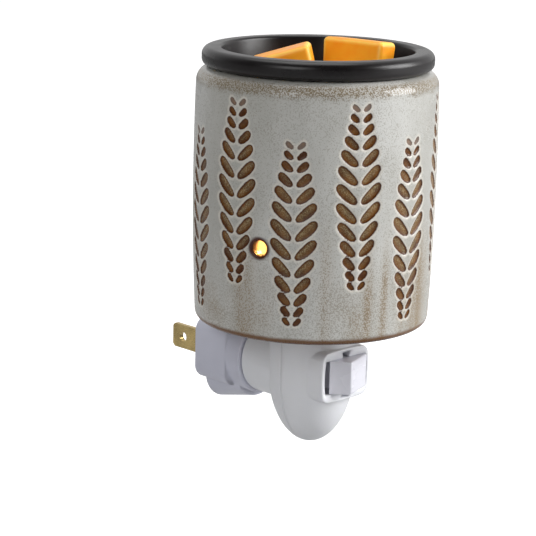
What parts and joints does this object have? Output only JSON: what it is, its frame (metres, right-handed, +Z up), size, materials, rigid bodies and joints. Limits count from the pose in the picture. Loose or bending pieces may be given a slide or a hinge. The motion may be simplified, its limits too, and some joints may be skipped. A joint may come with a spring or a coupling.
{
  "type": "plug-in wax melt warmer",
  "caption": "Plug-in wax melt warmer: a ceramic shade with leafy stems over a small bulb, a soft dish of wax melts on top, and a switched housing that turns on its plug.",
  "frame": {"origin": "centre of the plug face, where the blades come out", "axes": "+Y the way the blades point, +Z up along the shade, -Y the front with the switch"},
  "size_m": [0.0752, 0.0946, 0.1269],
  "materials": {
    "ceramic_glaze": "glossy grey-white reactive glaze with fine brown speckle and brown pooled in the pressed leaves",
    "dish_silicone": "satin, very dark brown",
    "orange_wax": "satin, a little translucent at the edges; wax",
    "white_plastic": "satin",
    "rocker_plastic": "satin, pale lavender grey",
    "plug_plastic": "satin, lavender grey",
    "blade_brass": "stamped, smooth",
    "contact_brass": "stamped",
    "spring_steel": "bright",
    "washer_nylon": "natural nylon",
    "base_plastic": "moulded phenolic",
    "plunger_plastic": "moulded",
    "nut_plastic": "moulded",
    "gasket_rubber": "matte",
    "bulb_glass": "clear",
    "cap_brass": "nickel plated, rolled thread",
    "insulator_black": "black glass",
    "tip_solder": "solder",
    "lead_black": "insulation",
    "lead_white": "insulation",
    "lead_brown": "insulation",
    "filament_wire": "wire, lit"
  },
  "bodies": {
    "plug": {"plug_body": "plug_plastic", "line_blade": "blade_brass", "neutral_blade": "blade_brass", "inner_slip_ring": "contact_brass", "outer_slip_ring": "contact_brass", "swivel_clip": "spring_steel", "swivel_washer": "washer_nylon"},
    "housing": {"centre_contact": "contact_brass", "contact_carrier": "base_plastic", "front_shell": "white_plastic", "lamp_lead": "lead_brown", "lamp_terminal": "contact_brass", "lampholder": "base_plastic", "line_lead": "lead_black", "line_terminal": "contact_brass", "line_wiper": "contact_brass", "neutral_lead": "lead_white", "neutral_wiper": "contact_brass", "rear_shell": "white_plastic", "shade": "ceramic_glaze", "shade_gasket": "gasket_rubber", "shade_nut": "nut_plastic", "shell_screw": "spring_steel", "socket_shell": "contact_brass", "switch_base": "base_plastic"},
    "rocker": {"rocker": "rocker_plastic", "switch_plunger": "plunger_plastic", "switch_spring": "spring_steel"},
    "lever": {"contact_lever": "contact_brass"},
    "bulb": {"bulb_glass": "bulb_glass", "bulb_cap": "cap_brass", "bulb_insulator": "insulator_black", "bulb_tip_contact": "tip_solder", "bulb_stem": "bulb_glass", "filament_leads": "filament_wire", "filament": "filament_wire"},
    "dish": {"dish": "dish_silicone", "left_wax_melt": "orange_wax", "right_wax_melt": "orange_wax"}
  },
  "joints": [
    {"name": "plug_swivel", "type": "hinge", "parent": "plug", "child": "housing", "pos_m": [0, 0, 0], "axis": [0, 1, 0], "range_deg": [-90, 90]},
    {"name": "rocker_tilt", "type": "hinge", "parent": "housing", "child": "rocker", "pos_m": [0, -0.0505, 0.0012], "axis": [0, 0, 1], "range_deg": [-40, 0]},
    {"name": "contact_rock", "type": "hinge", "parent": "housing", "child": "lever", "pos_m": [0, -0.0434, 0.0012], "axis": [0, 0, 1], "range_deg": [0, 14]},
    {"name": "bulb_unscrew", "type": "hinge", "parent": "housing", "child": "bulb", "pos_m": [0, -0.04, 0.038], "axis": [0, 0, 1], "range_deg": [0, 1080]},
    {"name": "dish_lift", "type": "slide", "parent": "housing", "child": "dish", "axis": [0, 0, 1], "range_m": [0, 0.06]}
  ],
  "couplings": [
    {"joint": "contact_rock", "follows": "rocker_tilt", "ratio": -0.35}
  ]
}
